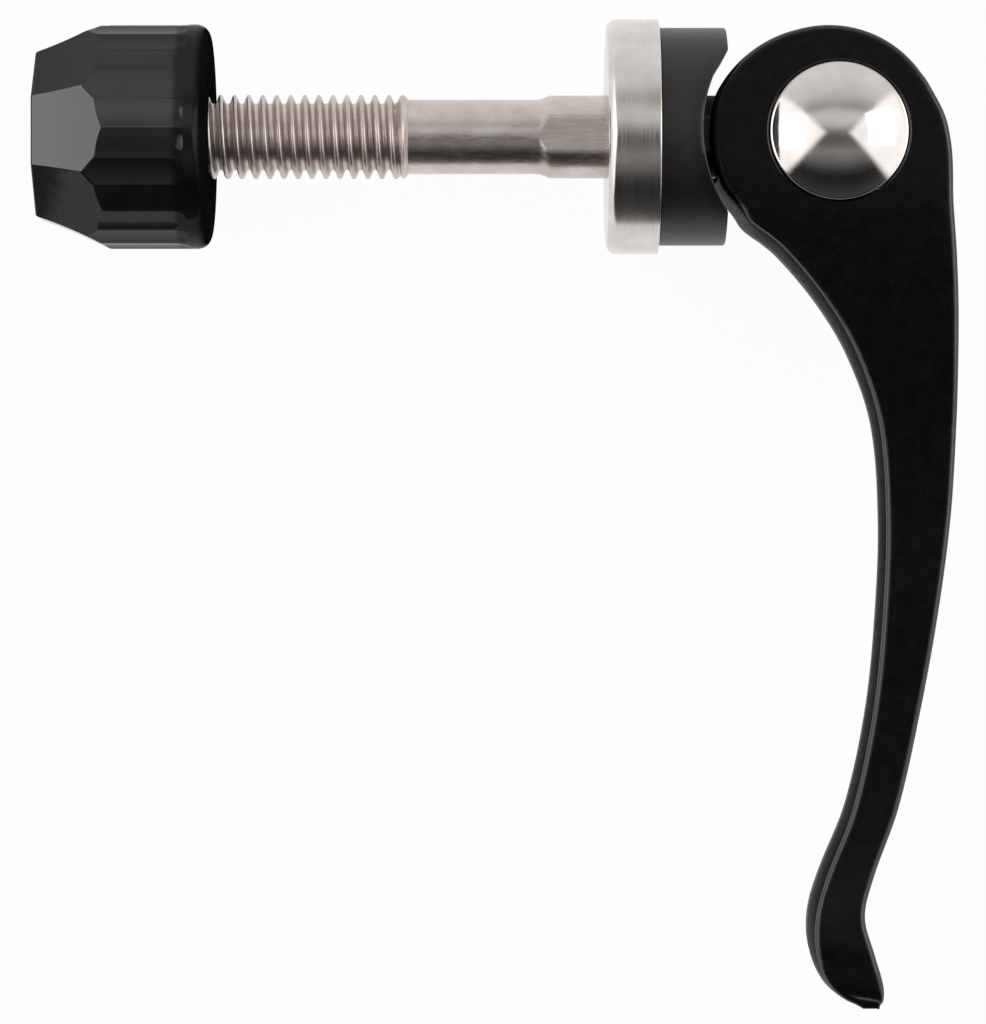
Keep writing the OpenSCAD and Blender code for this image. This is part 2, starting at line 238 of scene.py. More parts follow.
def rounded_profile(corners, radii, steps=6):
    """An outline through corners (x, r), each rounded by its own radius. A radius of 0 keeps the
    corner sharp. The outline is closed: its last corner joins its first."""
    parts = []
    n = len(corners)
    for i in range(n):
        before, here, after = corners[i - 1], corners[i], corners[(i + 1) % n]
        if radii[i] > 0:
            parts.append(corner_arc(*before, *here, *after, radii[i], steps))
        else:
            parts.append(np.array([here], dtype=float))
    return np.concatenate(parts)


print("mesh helpers ready")

# %% [markdown]
# ## Materials: helpers
# A finish on a real part is never even: its colour drifts a little, its gloss changes with the
# grain, and light catches small waves. All three can be painted as images, but here they come
# from noise that is measured in millimetres, so they stay sharp from any distance. Colours are
# written as the hex values of a picture editor and turned to linear light by one function. One
# more function adds a node, with its settings, inputs, links and colour stops in a single call.


# %% Helpers for materials
def linear(hex_colour):
    """An sRGB hex colour as linear RGBA."""
    value = [int(hex_colour[i:i + 2], 16) / 255 for i in (1, 3, 5)]
    out = [c / 12.92 if c <= 0.04045 else ((c + 0.055) / 1.055) ** 2.4 for c in value]
    return (*out, 1.0)


def grey(level):
    """A linear grey as RGBA."""
    return (level, level, level, 1.0)


def add(tree, kind, inputs=None, stops=(), **settings):
    """Adds a node. settings are its own properties, inputs are values or sockets to link, and
    stops are the (place, colour) pairs of a ramp in rising order."""
    node = tree.nodes.new(kind)
    for key, value in settings.items():
        setattr(node, key, value)
    for key, value in (inputs or {}).items():
        if isinstance(value, bpy.types.NodeSocket):
            tree.links.new(value, node.inputs[key])
        else:
            node.inputs[key].default_value = value
    for i, (place, colour) in enumerate(stops):
        elements = node.color_ramp.elements
        element = elements[i] if i < len(elements) else elements.new(place)
        element.position = place
        element.color = colour
    return node


def new_material(name):
    """An empty material with an output: (material, tree, output node)."""
    material = bpy.data.materials.new(name)
    material.use_nodes = True
    tree = material.node_tree
    tree.nodes.clear()
    output = add(tree, "ShaderNodeOutputMaterial")
    return material, tree, output


def place_along_x(tree):
    """The x of a point of the piece, in metres along the bolt."""
    place = add(tree, "ShaderNodeTexCoord").outputs["Object"]
    return add(tree, "ShaderNodeSeparateXYZ", {"Vector": place}).outputs["X"]


def pattern(tree, size_mm, detail=2.0, stretch=(1, 1, 1)):
    """Blotches about size_mm across, as a value round 0.5. A stretch below 1 draws them out along
    that axis."""
    place = add(tree, "ShaderNodeTexCoord").outputs["Object"]
    place = add(tree, "ShaderNodeMapping", {"Vector": place, "Scale": stretch}).outputs["Vector"]
    return add(tree, "ShaderNodeTexNoise", {
        "Vector": place, "Scale": 1 / (size_mm * MM), "Detail": detail, "Roughness": 0.5}).outputs["Fac"]


def spread(tree, value, low, high):
    """A value round 0.5 stretched so that 0.3 gives low and 0.7 gives high."""
    return add(tree, "ShaderNodeMapRange", {
        "Value": value, "From Min": 0.3, "From Max": 0.7, "To Min": low, "To Max": high}).outputs["Result"]


def two_tone(tree, value, dark, light):
    """A colour between two hex colours, by a value round 0.5."""
    ends = [(0.3, linear(dark)), (0.7, linear(light))]
    return add(tree, "ShaderNodeValToRGB", {"Fac": value}, ends).outputs["Color"]


def rising(tree, length, start_mm, end_mm, low=0.0, high=1.0):
    """A share that goes from low to high, in an S curve, while a length goes from start to end."""
    return add(tree, "ShaderNodeMapRange", {
        "Value": length, "From Min": start_mm * MM, "From Max": end_mm * MM, "To Min": low,
        "To Max": high}, interpolation_type="SMOOTHSTEP").outputs["Result"]


def gloss_by_angle(tree, gloss):
    """Strength of the clear reflection, by how far the surface turns away: 0 is straight on."""
    facing = add(tree, "ShaderNodeLayerWeight", {"Blend": 0.5}).outputs["Facing"]
    stops = [(place, grey(level)) for place, level in gloss]
    return add(tree, "ShaderNodeValToRGB", {"Fac": facing}, stops).outputs["Color"]


def finish_material(tree, output, relief, inputs):
    """The surface shader with its inputs, linked to the output. relief lists patterns with the
    depth in millimetres that each stands for, and every one is laid over the one before it."""
    for height, depth_mm in relief:
        below = {"Normal": inputs["Normal"]} if "Normal" in inputs else {}
        settings = {"Height": height, "Distance": depth_mm * MM, "Strength": 1.0}
        inputs["Normal"] = add(tree, "ShaderNodeBump", settings | below).outputs["Normal"]
    shader = add(tree, "ShaderNodeBsdfPrincipled", inputs)
    tree.links.new(shader.outputs["BSDF"], output.inputs["Surface"])


print("material helpers ready")

# %% [markdown]
# ## Black paint on die-cast aluminium
# The lever is cast, tumbled and sprayed black. Spray paint dries with an orange peel about a
# millimetre wide, over the finer grain of the casting. Both are noise: one drives the colour and
# the wide waves, the other the gloss and the fine ones. A clear paint over black mirrors the
# studio, and the strength of that mirror is set by angle, because the thin skin of this paint
# shines face on and stays black where it is seen along its surface.

# %% Black paint
PAINT_GLOSS = [(0.0, 0.14), (0.05, 0.2), (0.15, 0.6), (0.5, 0.5), (0.8, 0.0004)]


def black_paint():
    """Sprayed paint: near black and half glossy, with an orange peel of about a millimetre."""
    material, tree, output = new_material("black_paint_on_cast_aluminium")
    peel = pattern(tree, 1.1, detail=1.0)
    grain = pattern(tree, 0.35)
    finish_material(tree, output, [(peel, 0.02), (grain, 0.006)], {
        "Base Color": two_tone(tree, peel, "#040404", "#0a0a0b"),
        "Roughness": spread(tree, grain, 0.16, 0.26),
        "Specular IOR Level": gloss_by_angle(tree, PAINT_GLOSS),
    })
    return material


PAINT = black_paint()
print("made", PAINT.name)

# %% [markdown]
# ## Polished nickel on the cross pin
# The domes of the pin are buffed and nickel-plated, which gives a warm mirror. A perfect mirror
# looks computed, so the buffing leaves waves two millimetres wide and a faint haze.


# %% Polished nickel
def polished_nickel():
    """Nickel plate over a buffed steel dome: a warm mirror with a faint haze and buffing waves."""
    material, tree, output = new_material("polished_nickel_plate")
    waves = pattern(tree, 2.0, detail=1.0)
    haze = pattern(tree, 0.3)
    finish_material(tree, output, [(waves, 0.006)], {
        "Base Color": two_tone(tree, waves, "#cdc6c2", "#dcd7d3"),
        "Metallic": 1.0,
        "Roughness": spread(tree, haze, 0.08, 0.13),
    })
    return material


NICKEL = polished_nickel()
print("made", NICKEL.name)

# %% [markdown]
# ## Plated steel of the bolt
# The blank is drawn through a die, which leaves fine lines along the bar, then rolled and plated.
# The lines are noise that is drawn out along x. The thread is a little hazier than the shank,
# because rolling presses its flanks and plating builds up on its crests. The neck runs in the
# lever's slot, in shade between the black cam and the saddle, and that shade is painted: the
# metal fades into a dark film there.

# %% Plated steel
# Painted shade: from this x along the neck, in the lever's slot, the steel turns dark and loses its metal.
NECK_SHADE_FROM = 5.0
NECK_SHADE_FADE = 0.8
HAZE_FROM = -14.2
HAZE_TO = -14.0


def plated_steel():
    """Rolled and nickel-plated steel: warm grey, satin, with fine drawing lines along the bar, and painted
    shade on the neck in the lever's slot.
    """
    material, tree, output = new_material("nickel_plated_rolled_steel")
    lines = pattern(tree, 0.16, stretch=(0.15, 1, 1))
    cloud = pattern(tree, 1.5)
    x = place_along_x(tree)
    # Painted shade on the neck, which lies in shade in the lever's slot: a dark colour and no metal.
    neck_shade = rising(tree, x, NECK_SHADE_FROM, NECK_SHADE_FROM + NECK_SHADE_FADE)
    neck_unshaded = rising(tree, x, NECK_SHADE_FROM, NECK_SHADE_FROM + NECK_SHADE_FADE, 1.0, 0.0)
    thread_haze = rising(tree, x, HAZE_FROM, HAZE_TO, 0.08, 0.0)
    plate = two_tone(tree, cloud, "#c3b7b1", "#d3c9c3")
    colour = add(tree, "ShaderNodeMix", {"Factor": neck_shade, "A": plate, "B": linear("#0b0a0a")},
                 data_type="RGBA")
    roughness = add(tree, "ShaderNodeMath", {0: spread(tree, lines, 0.24, 0.34), 1: thread_haze},
                    operation="ADD")
    finish_material(tree, output, [(lines, 0.004)], {
        "Base Color": colour.outputs["Result"],
        "Metallic": neck_unshaded,
        "Roughness": roughness.outputs[0],
    })
    return material


BOLT_STEEL = plated_steel()
print("made", BOLT_STEEL.name)

# %% [markdown]
# ## Turned steel of the washer
# A lathe tool leaves a spiral of fine grooves round the rim. Noise that is squeezed along x and
# drawn out across it gives rings without a texture to unwrap. They are a tenth of a millimetre
# apart, about twice as coarse as a real feed, so that they show.


# %% Turned steel
def turned_steel():
    """Steel turned on a lathe and plated: a bright satin with fine rings that run round the rim."""
    material, tree, output = new_material("turned_nickel_plated_steel")
    rings = pattern(tree, 0.14, stretch=(1, 0.02, 0.02))
    cloud = pattern(tree, 1.8, detail=1.0)
    finish_material(tree, output, [(rings, 0.006)], {
        "Base Color": two_tone(tree, cloud, "#cfc8c3", "#dcd7d3"),
        "Metallic": 1.0,
        "Roughness": spread(tree, rings, 0.14, 0.26),
    })
    return material


WASHER_STEEL = turned_steel()
print("made", WASHER_STEEL.name)

# %% [markdown]
# ## Satin nylon of the saddle washer
# The mould of such a part is spark-eroded, which gives nylon a fine satin grain. Painted shade
# darkens the hollowed seat, which lies under the cam. The shade follows the cam, so its edge is a
# distance from the pin's axis: one length of a vector gives that without any image mask.

# %% Satin nylon
# Painted shade: the nylon darkens within this distance of the pin's axis, where the seat lies under the
# cam.
SEAT_SHADE_RADIUS = 10.2
SEAT_SHADE_FADE = 0.5


def satin_nylon():
    """Glass-filled nylon, moulded: a brownish black with a satin skin, and painted shade near the seat."""
    material, tree, output = new_material("moulded_black_nylon")
    grain = pattern(tree, 0.22, detail=3.0)
    cloud = pattern(tree, 2.2, detail=1.0)
    place = add(tree, "ShaderNodeTexCoord").outputs["Object"]
    across = add(tree, "ShaderNodeMapping", {
        "Vector": place, "Scale": (1, 1, 0), "Location": (-PIN_X * MM, 0, 0)}).outputs["Vector"]
    from_pin = add(tree, "ShaderNodeVectorMath", {0: across}, operation="LENGTH").outputs["Value"]
    # Painted shade: darker nearer the pin's axis, in the hollowed seat under the cam.
    unshaded_share = rising(tree, from_pin, SEAT_SHADE_RADIUS, SEAT_SHADE_RADIUS + SEAT_SHADE_FADE)
    nylon = two_tone(tree, cloud, "#0e0b0b", "#191514")
    colour = add(tree, "ShaderNodeMix", {"Factor": unshaded_share, "A": linear("#060505"), "B": nylon},
                 data_type="RGBA")
    finish_material(tree, output, [(grain, 0.008)], {
        "Base Color": colour.outputs["Result"],
        "Roughness": spread(tree, grain, 0.36, 0.46),
    })
    return material


NYLON = satin_nylon()
print("made", NYLON.name)

# %% [markdown]
# ## Glossy plastic of the nut
# The grip is moulded in a polished mould, so it is a black mirror with a faint waviness from the
# flow of the plastic. It shines where it faces the eye and less where it turns away. Handling
# dulls the rim and the clamping face, so the gloss is also multiplied by shares that fall
# towards that face.

# %% Glossy plastic
NUT_GLOSS = [(0.03, 0.9), (0.2, 0.55), (0.4, 0.2), (0.8, 0.03)]
RIM_DULL = (2.5, 1.9, 0.4)
FACE_DULL = (1.0, 0.3, 0.0)


def glossy_plastic():
    """ABS from a polished mould: black and glossy, duller on the rim and the clamping face. A
    dulled stretch is given as its start and end from the face in millimetres, and what is left."""
    material, tree, output = new_material("moulded_black_abs")
    flow = pattern(tree, 2.5, detail=1.0)
    fine = pattern(tree, 0.25)
    x = place_along_x(tree)
    gloss = gloss_by_angle(tree, NUT_GLOSS)
    for start, end, left in (RIM_DULL, FACE_DULL):
        share = rising(tree, x, nut_high[0] - start, nut_high[0] - end, 1.0, left)
        gloss = add(tree, "ShaderNodeMath", {0: gloss, 1: share}, operation="MULTIPLY").outputs[0]
    finish_material(tree, output, [(flow, 0.012)], {
        "Base Color": two_tone(tree, flow, "#0a0a0a", "#111112"),
        "Roughness": spread(tree, fine, 0.06, 0.12),
        "Specular IOR Level": gloss,
    })
    return material


ABS = glossy_plastic()
print("made", ABS.name)

# %% [markdown]
# ## Zinc plate and plain nylon
# Two pieces sit inside the nut and only show through its hole. The insert is zinc-plated, which is
# pale, bluish and satin. The lock ring is unpigmented nylon, which is milky and lets a little
# light in, so it has some subsurface scattering. Both keep their CAD meshes.


# %% Zinc plate
def zinc_steel():
    """Zinc-plated steel of the threaded insert: pale, slightly blue and satin."""
    material, tree, output = new_material("zinc_plated_steel")
    cloud = pattern(tree, 0.9)
    finish_material(tree, output, [(cloud, 0.01)], {
        "Base Color": two_tone(tree, cloud, "#b4b7ba", "#c9ccce"),
        "Metallic": 1.0,
        "Roughness": spread(tree, cloud, 0.3, 0.42),
    })
    return material


ZINC = zinc_steel()
print("made", ZINC.name)


# %% Natural nylon
def natural_nylon():
    """Unpigmented nylon of the lock ring: milky, waxy and a little see-through."""
    material, tree, output = new_material("natural_nylon")
    cloud = pattern(tree, 0.8)
    finish_material(tree, output, [(cloud, 0.01)], {
        "Base Color": two_tone(tree, cloud, "#d9d4c4", "#e6e2d5"),
        "Roughness": spread(tree, cloud, 0.4, 0.5),
        "Subsurface Weight": 0.2,
        "Subsurface Radius": (0.0010, 0.0008, 0.0005),
    })
    return material


RING_NYLON = natural_nylon()
print("made", RING_NYLON.name)

# %% [markdown]
# ## Dressing a piece
# Each new surface stands for a CAD node, rides on the body that carries it, and takes its
# material. The same three calls are made for every piece, so they are one function.


# %% Dressing a piece
def dress(piece, material, body, slot, *nodes):
    """Gives a piece its material and body, and lets it stand for its CAD nodes. The slot argument is not
    used.
    """
    piece.data.materials.clear()
    piece.data.materials.append(material)
    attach(piece, body)
    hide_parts(*nodes)
    print(piece.name, "has", len(piece.data.polygons), "faces")


def dress_node(node, material):
    """Gives a CAD node that is shown as it is a better material."""
    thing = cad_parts[node]
    thing.data.materials.clear()
    thing.data.materials.append(material)


# %% [markdown]
# ## The bolt
# A rolled M6 thread isn't cut: the blank is thinner than the thread, and rolling pushes the metal
# up into crests, so the bare shank is as thin as the middle of the flanks. A Screw modifier can
# turn a tooth round the bar, but the run-out and the ends then have to be joined to it by hand.
# One grid has no joints: x along the bolt and an angle round it. The radius dips by the thread's
# depth where the helix, which climbs one pitch a turn, puts a groove. The two flats pressed on
# the neck are the smaller of the neck's radius and the distance to a plane.

# %% Make the bolt
PITCH = 1.0
THREAD_DEPTH = 0.61
CREST_PHASE = 0.59
CREST_FLAT = 0.09
ROOT_FLAT = 0.12
STRAIGHT_FLANK = 0.35
THREAD_END_X = -14.1
COLLAR_SLOPE = 0.32
RUN_OUT_START = 0.25
RUN_OUT = 0.8
CONE_START_X = -4.9
NECK_START_X = -3.9
HALF_FLATS = 2.65
FLAT_EDGE = 0.04
BOLT_BEVEL = 0.6


def groove_depth(x, angle):
    """Depth of the rolled groove from 0 at a crest to 1 at a root. The place along the pitch is x
    minus a pitch for each turn, folded about the crest. Between the flats of crest and root the
    flank is a mix of a straight line and an S curve, as a worn roll leaves it."""
    place = np.mod((x - BOLT_TAIL) / PITCH - CREST_PHASE - angle / (2 * math.pi), 1.0)
    from_crest = np.minimum(place, 1 - place)
    flank = 0.5 - CREST_FLAT - ROOT_FLAT
    t = np.clip((from_crest - CREST_FLAT) / flank, 0, 1)
    return STRAIGHT_FLANK * t + (1 - STRAIGHT_FLANK) * smooth_step(t)


def bolt_radius(x, angle):
    """Radius of the bolt: the thread, its run-out, the shank, the cone, and the flats on the neck."""
    rim = np.minimum(x - BOLT_TAIL, BOLT_END - x)
    ends = THREAD_R - BOLT_BEVEL + rim
    shoulder = SHANK_R + (THREAD_R - SHANK_R) * np.clip((THREAD_END_X - x) / COLLAR_SLOPE, 0, 1)
    fade = smooth_step((THREAD_END_X - RUN_OUT_START - x) / RUN_OUT)
    thread = shoulder - THREAD_DEPTH * groove_depth(x, angle) * fade
    cone = SHANK_R + (NECK_R - SHANK_R) * smooth_step((x - CONE_START_X) / (NECK_START_X - CONE_START_X))
    body = np.where(x < THREAD_END_X, thread, cone)
    flat = HALF_FLATS / np.maximum(np.abs(np.sin(angle)), 0.5)
    body = np.where(x > CONE_START_X - 0.5, soft_min(body, flat, FLAT_EDGE), body)
    return np.minimum(body, ends)


def make_bolt():
    """The bolt as one spindle, with rows 1/16 mm apart along the thread and wider elsewhere."""
    thread_rows = np.arange(BOLT_TAIL, THREAD_END_X, PITCH / 16)
    run_out = np.linspace(THREAD_END_X, THREAD_END_X + 0.2, 4)
    shank_rows = np.linspace(THREAD_END_X + 0.6, CONE_START_X - 0.4, 12)
    cone_rows = np.linspace(CONE_START_X - 0.2, NECK_START_X + 0.2, 16)
    neck_rows = np.linspace(NECK_START_X + 0.6, BOLT_END - BOLT_BEVEL, 24)
    x = np.concatenate([thread_rows, run_out, shank_rows, cone_rows, neck_rows, [BOLT_END]])
    angles = circle_angles(128)
    radius = bolt_radius(x[:, None], angles[None, :])
    points = turn(x, radius, angles)
    return poled_grid("bolt_m6", points, (BOLT_TAIL, 0, 0), (BOLT_END, 0, 0), 60.0)


bolt = make_bolt()
dress(bolt, BOLT_STEEL, "bolt_and_pin", "bolt_steel", "bolt")

# %% [markdown]
# ## The steel washer
# The washer that presses on the collar is turned from bar, with a bevel on its clamping side. A
# cylinder with a Bevel modifier would round all of its edges alike, but a lathe doesn't. So its
# outline is drawn once, with a radius of its own at each corner, and swept round the bolt's axis.

# %% Make the steel washer
WASHER_BEVEL = 0.45


def make_washer():
    """A ring from a closed outline: bore, bevelled clamping face, rim and back face."""
    x0, x1, r = washer_low[0], washer_high[0], washer_high[1]
    corners = [
        (x0 + 0.2, HOLE_R), (x0, HOLE_R + 0.2), (x0, r - WASHER_BEVEL),
        (x0 + WASHER_BEVEL, r), (x1, r), (x1, HOLE_R + 0.2), (x1 - 0.2, HOLE_R),
    ]
    radii = [0.05, 0.05, 0.2, 0.22, 0.12, 0.05, 0.05]
    outline = rounded_profile(corners, radii)
    return ring_grid("washer_steel", turn(outline[:, 0], outline[:, 1], circle_angles(192)), 50.0)


washer = make_washer()
dress(washer, WASHER_STEEL, "steel_washer", "washer_steel", "steel_washer")

# %% [markdown]
# ## The saddle washer
# The cam runs in this moulded ring, so its upper face is hollowed by a drum round the cross pin,
# and two horns are left at its sides. A boolean could cut that drum, with a ragged edge where it
# leaves the ring. Here the height of the face is a formula instead: the smaller of the flat top
# and the drum's surface, so the horns' edges come out clean and soft.

# %% Make the saddle washer
SEAT_FLOOR_X = 6.6
SEAT_R = PIN_X - SEAT_FLOOR_X
SEAT_EDGE = 0.05
SADDLE_EDGE = 0.1


def saddle_top(y):
    """Height of the upper face at a distance y across the seat: the lower of the horns' flat top
    and the drum, x = pin minus the root of R squared minus y squared."""
    drum = PIN_X - np.sqrt(np.maximum(SEAT_R ** 2 - y ** 2, 0.01))
    return soft_min(np.full_like(y, saddle_high[0]), drum, SEAT_EDGE)


def make_saddle():
    """A ring whose rows run up the rim, over the hollowed face and down the bore."""
    r = saddle_high[1]
    base = saddle_low[0]
    angles = circle_angles(240)
    rim_y = r * np.cos(angles)
    rim_top = saddle_top(rim_y)
    rows = [
        turn([base], [r - SADDLE_EDGE], angles)[0],
        turn([base + SADDLE_EDGE], [r], angles)[0],
    ]
    for t in (0.1, 0.3, 0.5, 0.7, 0.9, 1.0):
        x = base + SADDLE_EDGE + (rim_top - SADDLE_EDGE - base - SADDLE_EDGE) * t
        rows.append(np.stack([x, rim_y, r * np.sin(angles)], axis=-1))
    for t in np.linspace(0, 1, 40):
        radius = (r - 0.8 * SADDLE_EDGE) * (1 - t) + HOLE_R * t
        y = radius * np.cos(angles)
        rows.append(np.stack([saddle_top(y), y, radius * np.sin(angles)], axis=-1))
    rows.append(turn([base], [HOLE_R], angles)[0])
    return ring_grid("washer_saddle", np.array(rows), 40.0)


saddle = make_saddle()
dress(saddle, NYLON, "saddle_washer", "saddle_plastic", "saddle_washer")

# %% [markdown]
# ## The cross pin
# A barrel with a dome at each end, turned and buffed. A squashed ball would make a dome, but its
# curve would be wrong at the rim, and a mirror shows that. So each dome is part of a true sphere
# that passes through the rim. The outline is swept round Z, and an exact boolean cuts the bolt's
# hole across the barrel, where no eye sees its edge.

# %% Make the cross pin
DOME_RIM = 0.12
HEAD_HALF = 5.5
PIN_HOLE_GAP = 0.02
CUTTER_REACH = 8.0


def cut(piece, cutters):
    """Takes the cutters out of a piece with exact booleans, and removes the cutters."""
    for cutter in cutters:
        change = piece.modifiers.new("cut", "BOOLEAN")
        change.operation = "DIFFERENCE"
        change.solver = "EXACT"
        change.object = cutter
    graph = bpy.context.evaluated_depsgraph_get()
    mesh = bpy.data.meshes.new_from_object(piece.evaluated_get(graph))
    piece.modifiers.clear()
    piece.data = mesh
    for cutter in cutters:
        bpy.data.objects.remove(cutter)


def make_pin():
    """The barrel: dome, rim, side, rim, dome. A dome's points lie on a sphere through the rim."""
    top = pin_high[2]
    dome_h = top - HEAD_HALF
    rim_r = PIN_R - DOME_RIM
    dome_r = (rim_r ** 2 + dome_h ** 2) / (2 * dome_h)
    lean = np.linspace(0.02, 1, 40) * math.asin(rim_r / dome_r)
    dome = np.stack([top - dome_r * (1 - np.cos(lean)), dome_r * np.sin(lean)], axis=-1)
    rim = np.array([
        [HEAD_HALF - 0.01, PIN_R - DOME_RIM / 2], [HEAD_HALF - DOME_RIM, PIN_R], [HEAD_HALF - 0.5, PIN_R]])
    half = np.concatenate([dome, rim, [[0.5, PIN_R]]])
    outline = np.concatenate([half * [-1, 1], half[::-1]])
    angles = circle_angles(192)
    z = np.repeat(outline[:, 0][:, None], len(angles), axis=1)
    r = outline[:, 1][:, None]
    points = np.stack([PIN_X + r * np.cos(angles), r * np.sin(angles), z], axis=-1)
    pin = poled_grid("pin_barrel", points, (PIN_X, 0, -top), (PIN_X, 0, top), 40.0)
    near, far = PIN_X - CUTTER_REACH, PIN_X + CUTTER_REACH
    hole = turn([near, far], [NECK_R + PIN_HOLE_GAP] * 2, circle_angles(96))
    cutter = poled_grid("pin_hole", hole, (near, 0, 0), (far, 0, 0))
    cut(pin, [cutter])
    smooth_shade(pin.data, 40.0)
    return pin


pin = make_pin()
dress(pin, NICKEL, "bolt_and_pin", "pin_steel", "cross_pin")

# %% [markdown]
# ## The nut
# The shell is a grip that fingers turn, with flutes round its body and eight hollowed flats on
# its taper. Cutting them one by one takes dozens of booleans and leaves hard edges that a mould
# doesn't have. Here the radius is the smallest of three formulas: the round body, twenty-four
# shallow facets and the eight flats. Taking the smallest draws the scalloped edges by itself, and
# a soft smallest rounds them.

# %% Make the nut's shell
NUT_RIM = 1.0
NUT_TAPER = 5.1
NUT_SMALL_R = 5.8
FLAT_COUNT = 8
FLAT_HOLLOW_R = 34.0
FACET_COUNT = 24
FACET_HOLLOW = 0.05
FACET_EDGE = 0.015
FLAT_BLEND = 0.05
FACET_END = 1.8
FACET_END_LEN = 0.8
FACET_END_RISE = 0.35
NUT_HOLE_R = 3.37
NUT_HOLE_BEVEL = 0.15
FACE_RING_R = 4.5

# Beds inside the shell, as start and end depths from the face, and radii
INSERT_BED = (0.78, 7.22)
INSERT_BED_R = 5.02
GROOVE_BED = (2.98, 5.02)
GROOVE_BED_R = 4.42
RING_BED_END = 9.24
RING_BED_R = 4.34


def fold_angle(angle, count, turn_share):
    """The angle from the middle of the nearest of count equal sectors."""
    step = 2 * math.pi / count
    return np.mod(angle - turn_share * step + step / 2, step) - step / 2


def flat_radius(x, angle):
    """Distance from the axis to a hollowed flat: a circle's arc along x, then divided by the
    cosine of the angle from the flat's middle, as on any flat."""
    r = nut_high[1]
    tail = nut_low[0]
    rise = r - NUT_SMALL_R
    chord = math.hypot(NUT_TAPER, rise)
    out = math.sqrt(FLAT_HOLLOW_R ** 2 - (chord / 2) ** 2)
    centre_x = tail + NUT_TAPER / 2 - out * rise / chord
    centre_r = (r + NUT_SMALL_R) / 2 + out * NUT_TAPER / chord
    arc = centre_r - np.sqrt(np.maximum(FLAT_HOLLOW_R ** 2 - (x - centre_x) ** 2, 1.0))
    return arc / np.cos(fold_angle(angle, FLAT_COUNT, 0.0))


def facet_radius(angle):
    """Distance from the axis to a shallow hollow facet of the body."""
    r = nut_high[1]
    half = math.pi / FACET_COUNT
    away = fold_angle(angle, FACET_COUNT, 0.5)
    flat = r * math.cos(half) / np.cos(away)
    return flat - FACET_HOLLOW * (1 - (away / half) ** 2)


def nut_radius(x, angle):
    """Radius of the shell's outside: the body with its rounded rim, the facets, which rise out of
    it near the face, and the flats, whichever lies deepest."""
    r = nut_high[1]
    face = nut_high[0]
    into_rim = np.clip((x - (face - NUT_RIM)) / NUT_RIM, 0, 1)
    rounded = r - NUT_RIM * (1 - np.sqrt(1 - into_rim ** 2))
    lifted = FACET_END_RISE * smooth_step((x - (face - FACET_END)) / FACET_END_LEN)
    body = soft_min(rounded, facet_radius(angle) + lifted, FACET_EDGE)
    return soft_min(body, flat_radius(x, angle), FLAT_BLEND)


def inside_profile(face, tail):
    """The inside from the face to the tail, as (x, radius): the bevelled hole, the bed that grips
    the insert's two flanges and the groove between them, the lock ring's bed, and the way out."""
    insert_start, insert_end = face - INSERT_BED[0], face - INSERT_BED[1]
    groove_start, groove_end = face - GROOVE_BED[0], face - GROOVE_BED[1]
    ring_end = face - RING_BED_END
    return np.array([
        [face, FACE_RING_R], [face, NUT_HOLE_R + NUT_HOLE_BEVEL], [face - NUT_HOLE_BEVEL, NUT_HOLE_R],
        [insert_start, NUT_HOLE_R], [insert_start, INSERT_BED_R],
        [groove_start, INSERT_BED_R], [groove_start, GROOVE_BED_R],
        [groove_end, GROOVE_BED_R], [groove_end, INSERT_BED_R],
        [insert_end, INSERT_BED_R], [insert_end, RING_BED_R],
        [ring_end, RING_BED_R], [ring_end, NUT_HOLE_R], [tail + 0.5, NUT_HOLE_R],
    ])


def make_nut():
    """The shell: rows run along the outside from the small end to the face, then back through
    the bolt's hole, round the beds of the insert and the lock ring."""
    tail, face = nut_low[0], nut_high[0]
    angles = circle_angles(FACET_COUNT * 20)
    taper = np.linspace(tail + 0.1, tail + NUT_TAPER + 1.8, 110)
    middle = np.linspace(taper[-1], face - NUT_RIM - 1.2, 12)[1:]
    rim = face - NUT_RIM * (1 - np.sin(np.linspace(-0.6, 0.5 * math.pi, 34)))
    rim = rim[rim > middle[-1]]
    x = np.concatenate([taper, middle, rim])
    outside = turn(x, nut_radius(x[:, None], angles[None, :]), angles)
    end_radius = nut_radius(np.array([[tail]]), angles[None, :])[0]
    small_end = [
        turn([tail + 0.03], (end_radius - 0.03)[None, :], angles)[0],
        turn([tail], (end_radius - 0.1)[None, :], angles)[0],
    ]
    mouth = NUT_HOLE_R + 0.5
    for share in (0.66, 0.33, 0.0):
        small_end.insert(0, turn([tail], (mouth + (end_radius - 0.1 - mouth) * share)[None, :], angles)[0])
    inside = inside_profile(face, tail)
    bore = turn(inside[:, 0], inside[:, 1], angles)
    points = np.concatenate([np.array(small_end), outside, bore])
    return ring_grid("nut_grip", points, 24.0)


nut = make_nut()
dress(nut, ABS, "nut", "nut_plastic", "nut_shell")
dress_node("nut_insert", ZINC)
dress_node("lock_ring", RING_NYLON)

# %% [markdown]
# ## The lever
# The casting is a plate with two faces and a soft edge all round, bowed and thicker at the head
# and the thumb rest. A Bezier outline with a bevel would be quick, but its thickness can't change
# along the arm. Here the outline is a left and a right edge, both functions of the height y: the
# cam's circle above, and below it a curve drawn smoothly through a few rows of points, each of
# which also gives the thickness. Rows of points run across both faces between the edges, and a
# rim closes the plate: from each edge the surface bends over a rounded bevel, leans out to the
# middle of the plate by the draft of the mould, and comes back. Slot and eye are then cut.

# %% The lever's outline
HEAD_R = 7.9
HEAD_X = -0.7
HEAD_Y = -0.45
CAM_R = 9.0
RAMP_R = 8.7
RAMP_X = -0.9
RAMP_ON_Y = -1.32
RAMP_OFF_Y = 1.0
ARM_LEN = 62.0
ARM_W = 7.8
TIP_W = 10.0
HEAD_W = 10.98
CAM_EDGE = 0.06
ARM_BLEND = 0.3
ROW_STEP = 0.45

